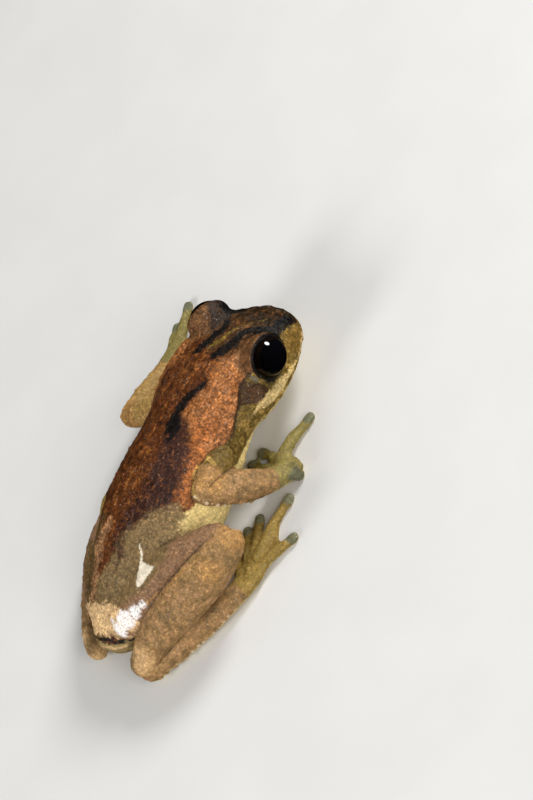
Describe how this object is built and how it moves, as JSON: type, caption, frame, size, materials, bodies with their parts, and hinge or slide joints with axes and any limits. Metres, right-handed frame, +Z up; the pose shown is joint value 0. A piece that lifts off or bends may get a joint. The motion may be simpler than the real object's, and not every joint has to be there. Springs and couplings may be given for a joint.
{
  "type": "small brown tree frog",
  "caption": "Life-size small brown tree frog crouched on a flat floor, head turned slightly to its right, limbs folded at its sides.",
  "frame": {"origin": "on the floor, under the centre of the frog's box", "axes": "+Z up, -Y the way the body faces, -X the frog's right side"},
  "size_m": [0.0216, 0.0288, 0.0077],
  "materials": {
    "torso": "moist, finely granular frog skin, red-brown with dark streaks and an olive-grey rump",
    "head": "moist, finely granular frog skin, brown above with a dark bar between the eyes, a dark ear patch and a cream lip stripe",
    "eye_right": "wet, glossy near-black eye",
    "eye_left": "wet, glossy near-black eye",
    "upper_arm_right": "moist tan skin",
    "forearm_right": "moist tan-orange skin with a row of pale tubercles",
    "hand_right": "moist olive-yellow skin with grey translucent discs",
    "thigh_right": "moist purple-brown skin",
    "shank_right": "moist tan-brown skin with pale granules",
    "tarsus_right": "moist olive-tan skin with a row of pale tubercles",
    "foot_right": "moist golden-yellow skin with grey translucent discs",
    "upper_arm_left": "moist tan skin",
    "forearm_left": "moist tan-orange skin with a row of pale tubercles",
    "hand_left": "moist olive-yellow skin with grey translucent discs",
    "thigh_left": "moist purple-brown skin",
    "shank_left": "moist tan-brown skin with pale granules",
    "tarsus_left": "moist olive-tan skin with a row of pale tubercles",
    "foot_left": "moist golden-yellow skin with grey translucent discs"
  },
  "bodies": {
    "root": {"torso": "torso", "head": "head", "eye_right": "eye_right", "eye_left": "eye_left", "upper_arm_right": "upper_arm_right", "forearm_right": "forearm_right", "hand_right": "hand_right", "thigh_right": "thigh_right", "shank_right": "shank_right", "tarsus_right": "tarsus_right", "foot_right": "foot_right", "upper_arm_left": "upper_arm_left", "forearm_left": "forearm_left", "hand_left": "hand_left", "thigh_left": "thigh_left", "shank_left": "shank_left", "tarsus_left": "tarsus_left", "foot_left": "foot_left"}
  },
  "joints": []
}
